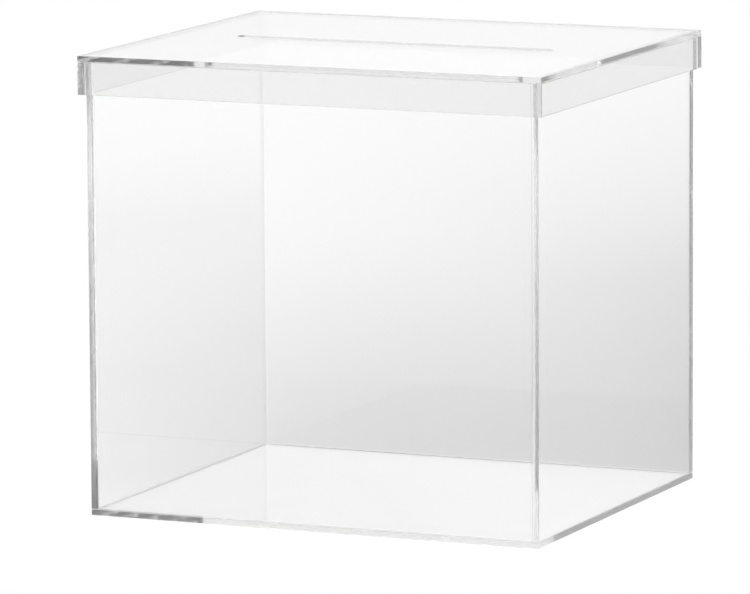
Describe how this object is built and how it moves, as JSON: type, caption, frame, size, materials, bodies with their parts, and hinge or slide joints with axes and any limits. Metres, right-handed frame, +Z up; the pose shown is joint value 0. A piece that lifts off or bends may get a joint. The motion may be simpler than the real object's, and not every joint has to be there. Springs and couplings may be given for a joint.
{
  "type": "acrylic card box",
  "caption": "Clear acrylic box of cemented flat panels, with a lift-off lid whose skirts hang outside the walls and whose top has a long slot for posting cards.",
  "frame": {"origin": "centre of the base panel's underside, on the surface that the box stands on", "axes": "+Z up, out through the lid; +X along the card slot, to the right as the wide front is faced; -Y is the wide front"},
  "size_m": [0.2568, 0.2218, 0.2392],
  "materials": {
    "clear_acrylic": "polished"
  },
  "bodies": {
    "box": {"base_panel": "clear_acrylic", "front_wall": "clear_acrylic", "back_wall": "clear_acrylic", "left_wall": "clear_acrylic", "right_wall": "clear_acrylic"},
    "lid": {"lid_top_panel": "clear_acrylic", "lid_front_skirt": "clear_acrylic", "lid_back_skirt": "clear_acrylic", "lid_left_skirt": "clear_acrylic", "lid_right_skirt": "clear_acrylic"}
  },
  "joints": [
    {"name": "lid_lift", "type": "slide", "parent": "box", "child": "lid", "axis": [0, 0, 1], "range_m": [0, 0.12]}
  ]
}
